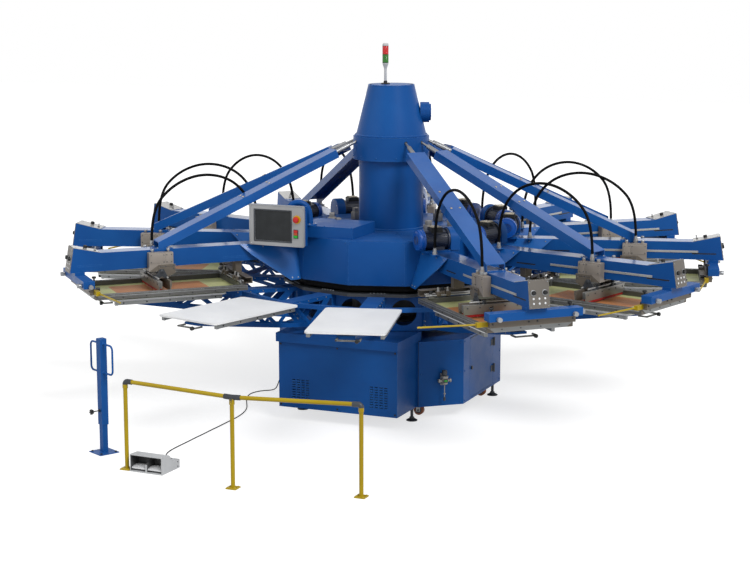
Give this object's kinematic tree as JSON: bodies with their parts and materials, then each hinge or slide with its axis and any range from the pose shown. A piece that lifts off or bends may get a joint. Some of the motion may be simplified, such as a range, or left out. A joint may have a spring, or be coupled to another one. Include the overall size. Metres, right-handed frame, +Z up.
{
  "type": "carousel screen printing press",
  "caption": "Automatic carousel press for printing garments through screens, with print heads reaching over white pallets that turn round a blue column.",
  "frame": {"origin": "on the floor, on the axis of the column that the carousel turns round", "axes": "+Z up, -Y towards the operator at the open loading stations, +X to the operator's right"},
  "size_m": [4.8292, 5.0992, 2.64],
  "materials": {
    "blue_paint": "semi-gloss powder coat",
    "dark_steel": "black oxide",
    "caster_tread": "moulded",
    "zinc_parts": "satin",
    "bright_metal": "brushed",
    "alloy_profile": "extruded",
    "white_coating": "satin",
    "mesh_cloth": "fine woven mesh",
    "yellow_paint": "semi-gloss",
    "grey_paint": "satin",
    "squeegee_red": "cast polyurethane",
    "black_rubber": "matt",
    "lamp_plastic": "clear lens",
    "panel_metal": "satin",
    "red_plastic": "gloss",
    "green_plastic": "gloss",
    "grey_plastic": "fine texture"
  },
  "bodies": {
    "frame": {"base_housing": "blue_paint", "front_cabinet": "blue_paint", "leveling_feet": "dark_steel", "casters": "caster_tread", "air_regulator": "zinc_parts", "drive_equipment": "zinc_parts", "column": "blue_paint", "column_cap": "blue_paint", "hub_cover": "blue_paint", "stack_light": "lamp_plastic", "print_arms": "blue_paint", "arm_gussets": "blue_paint", "carriage_rails": "bright_metal", "drive_motors": "zinc_parts", "stay_beams": "blue_paint", "frame_holders": "blue_paint", "registration_knobs": "bright_metal", "screen_frames": "alloy_profile", "screen_meshes": "mesh_cloth", "trip_rods": "yellow_paint", "head_controls": "grey_paint", "carriage_hoses": "black_rubber", "safety_barrier": "yellow_paint", "pedal_housing": "grey_plastic", "pedal_cord": "black_rubber", "stand_base": "blue_paint"},
    "lift": {"lift_carrier": "dark_steel"},
    "carousel": {"carousel_hub": "blue_paint", "pallet_arms": "blue_paint", "pallet_brackets": "alloy_profile", "pallets": "white_coating"},
    "door": {"service_door": "blue_paint"},
    "operator_panel": {"control_panel": "panel_metal", "control_panel_arm": "blue_paint"},
    "estop": {"estop_button": "red_plastic"},
    "start": {"start_button": "green_plastic"},
    "stop": {"stop_button": "red_plastic"},
    "pedal_l": {"pedal_left": "grey_plastic"},
    "pedal_r": {"pedal_right": "grey_plastic"},
    "stand_top": {"stand_post": "blue_paint"},
    "head_carriage_01": {"carriage_01": "grey_paint"},
    "head_tool_01": {"print_tool_01": "squeegee_red"},
    "head_carriage_02": {"carriage_02": "grey_paint"},
    "head_tool_02": {"print_tool_02": "squeegee_red"},
    "head_carriage_03": {"carriage_03": "grey_paint"},
    "head_tool_03": {"print_tool_03": "squeegee_red"},
    "head_carriage_04": {"carriage_04": "grey_paint"},
    "head_tool_04": {"print_tool_04": "squeegee_red"},
    "head_carriage_05": {"carriage_05": "grey_paint"},
    "head_tool_05": {"print_tool_05": "squeegee_red"},
    "head_carriage_06": {"carriage_06": "grey_paint"},
    "head_tool_06": {"print_tool_06": "squeegee_red"},
    "head_carriage_07": {"carriage_07": "grey_paint"},
    "head_tool_07": {"print_tool_07": "squeegee_red"},
    "head_carriage_08": {"carriage_08": "grey_paint"},
    "head_tool_08": {"print_tool_08": "squeegee_red"},
    "head_carriage_09": {"carriage_09": "grey_paint"},
    "head_tool_09": {"print_tool_09": "squeegee_red"},
    "head_carriage_10": {"carriage_10": "grey_paint"},
    "head_tool_10": {"print_tool_10": "squeegee_red"}
  },
  "joints": [
    {"name": "carousel_lift", "type": "slide", "parent": "frame", "child": "lift", "axis": [0, 0, 1], "range_m": [0, 0.01]},
    {"name": "carousel_index", "type": "hinge", "parent": "lift", "child": "carousel", "pos_m": [0, 0, 0.9], "axis": [0, 0, 1], "continuous": true},
    {"name": "carriage_slide_01", "type": "slide", "parent": "frame", "child": "head_carriage_01", "axis": [0.7071, -0.7071, 0], "range_m": [-0.3, 0.33], "deforming": ["carriage_hoses"]},
    {"name": "carriage_slide_02", "type": "slide", "parent": "frame", "child": "head_carriage_02", "axis": [0.9659, -0.2588, 0], "range_m": [-0.3, 0.33], "deforming": ["carriage_hoses"]},
    {"name": "carriage_slide_03", "type": "slide", "parent": "frame", "child": "head_carriage_03", "axis": [0.9659, 0.2588, 0], "range_m": [-0.3, 0.33], "deforming": ["carriage_hoses"]},
    {"name": "carriage_slide_04", "type": "slide", "parent": "frame", "child": "head_carriage_04", "axis": [0.7071, 0.7071, 0], "range_m": [-0.3, 0.33], "deforming": ["carriage_hoses"]},
    {"name": "carriage_slide_05", "type": "slide", "parent": "frame", "child": "head_carriage_05", "axis": [0.2588, 0.9659, 0], "range_m": [-0.3, 0.33], "deforming": ["carriage_hoses"]},
    {"name": "carriage_slide_06", "type": "slide", "parent": "frame", "child": "head_carriage_06", "axis": [-0.2588, 0.9659, 0], "range_m": [-0.3, 0.33], "deforming": ["carriage_hoses"]},
    {"name": "carriage_slide_07", "type": "slide", "parent": "frame", "child": "head_carriage_07", "axis": [-0.7071, 0.7071, 0], "range_m": [-0.3, 0.33], "deforming": ["carriage_hoses"]},
    {"name": "carriage_slide_08", "type": "slide", "parent": "frame", "child": "head_carriage_08", "axis": [-0.9659, 0.2588, 0], "range_m": [-0.3, 0.33], "deforming": ["carriage_hoses"]},
    {"name": "carriage_slide_09", "type": "slide", "parent": "frame", "child": "head_carriage_09", "axis": [-0.9659, -0.2588, 0], "range_m": [-0.3, 0.33], "deforming": ["carriage_hoses"]},
    {"name": "carriage_slide_10", "type": "slide", "parent": "frame", "child": "head_carriage_10", "axis": [-0.7071, -0.7071, 0], "range_m": [-0.3, 0.33], "deforming": ["carriage_hoses"]},
    {"name": "tool_rock_01", "type": "hinge", "parent": "head_carriage_01", "child": "head_tool_01", "pos_m": [1.26855, -1.26855, 1.085], "axis": [0.7071, 0.7071, 0], "range_deg": [-6, 6]},
    {"name": "tool_rock_02", "type": "hinge", "parent": "head_carriage_02", "child": "head_tool_02", "pos_m": [1.73287, -0.46432, 1.085], "axis": [0.2588, 0.9659, 0], "range_deg": [-6, 6]},
    {"name": "tool_rock_03", "type": "hinge", "parent": "head_carriage_03", "child": "head_tool_03", "pos_m": [1.73287, 0.46432, 1.085], "axis": [-0.2588, 0.9659, 0], "range_deg": [-6, 6]},
    {"name": "tool_rock_04", "type": "hinge", "parent": "head_carriage_04", "child": "head_tool_04", "pos_m": [1.26855, 1.26855, 1.085], "axis": [-0.7071, 0.7071, 0], "range_deg": [-6, 6]},
    {"name": "tool_rock_05", "type": "hinge", "parent": "head_carriage_05", "child": "head_tool_05", "pos_m": [0.46432, 1.73287, 1.085], "axis": [-0.9659, 0.2588, 0], "range_deg": [-6, 6]},
    {"name": "tool_rock_06", "type": "hinge", "parent": "head_carriage_06", "child": "head_tool_06", "pos_m": [-0.46432, 1.73287, 1.085], "axis": [-0.9659, -0.2588, 0], "range_deg": [-6, 6]},
    {"name": "tool_rock_07", "type": "hinge", "parent": "head_carriage_07", "child": "head_tool_07", "pos_m": [-1.26855, 1.26855, 1.085], "axis": [-0.7071, -0.7071, 0], "range_deg": [-6, 6]},
    {"name": "tool_rock_08", "type": "hinge", "parent": "head_carriage_08", "child": "head_tool_08", "pos_m": [-1.73287, 0.46432, 1.085], "axis": [-0.2588, -0.9659, 0], "range_deg": [-6, 6]},
    {"name": "tool_rock_09", "type": "hinge", "parent": "head_carriage_09", "child": "head_tool_09", "pos_m": [-1.73287, -0.46432, 1.085], "axis": [0.2588, -0.9659, 0], "range_deg": [-6, 6]},
    {"name": "tool_rock_10", "type": "hinge", "parent": "head_carriage_10", "child": "head_tool_10", "pos_m": [-1.26855, -1.26855, 1.085], "axis": [0.7071, -0.7071, 0], "range_deg": [-6, 6]},
    {"name": "door_hinge", "type": "hinge", "parent": "frame", "child": "door", "pos_m": [0.74, 0.232, 0.333], "axis": [0, 0, 1], "range_deg": [0, 110]},
    {"name": "panel_swivel", "type": "hinge", "parent": "frame", "child": "operator_panel", "pos_m": [-0.34, -0.69, 1.38], "axis": [0, 0, 1], "range_deg": [0, 25]},
    {"name": "estop_push", "type": "slide", "parent": "operator_panel", "child": "estop", "axis": [0, 1, 0], "range_m": [0, 0.005], "stiffness_N_per_m": 800, "springref_m": -0.002},
    {"name": "start_push", "type": "slide", "parent": "operator_panel", "child": "start", "axis": [0, 1, 0], "range_m": [0, 0.003], "stiffness_N_per_m": 600, "springref_m": -0.002},
    {"name": "stop_push", "type": "slide", "parent": "operator_panel", "child": "stop", "axis": [0, 1, 0], "range_m": [0, 0.003], "stiffness_N_per_m": 600, "springref_m": -0.002},
    {"name": "pedal_left_press", "type": "hinge", "parent": "frame", "child": "pedal_l", "pos_m": [-0.67654, -2.4804, 0.0305], "axis": [0.9994, -0.0349, 0], "range_deg": [0, 6], "stiffness_Nm_per_rad": 4, "springref_deg": -8.59},
    {"name": "pedal_right_press", "type": "hinge", "parent": "frame", "child": "pedal_r", "pos_m": [-0.55661, -2.48458, 0.0305], "axis": [0.9994, -0.0349, 0], "range_deg": [0, 6], "stiffness_Nm_per_rad": 4, "springref_deg": -8.59},
    {"name": "stand_slide", "type": "slide", "parent": "frame", "child": "stand_top", "axis": [0, 0, 1], "range_m": [-0.18, 0.22]}
  ]
}
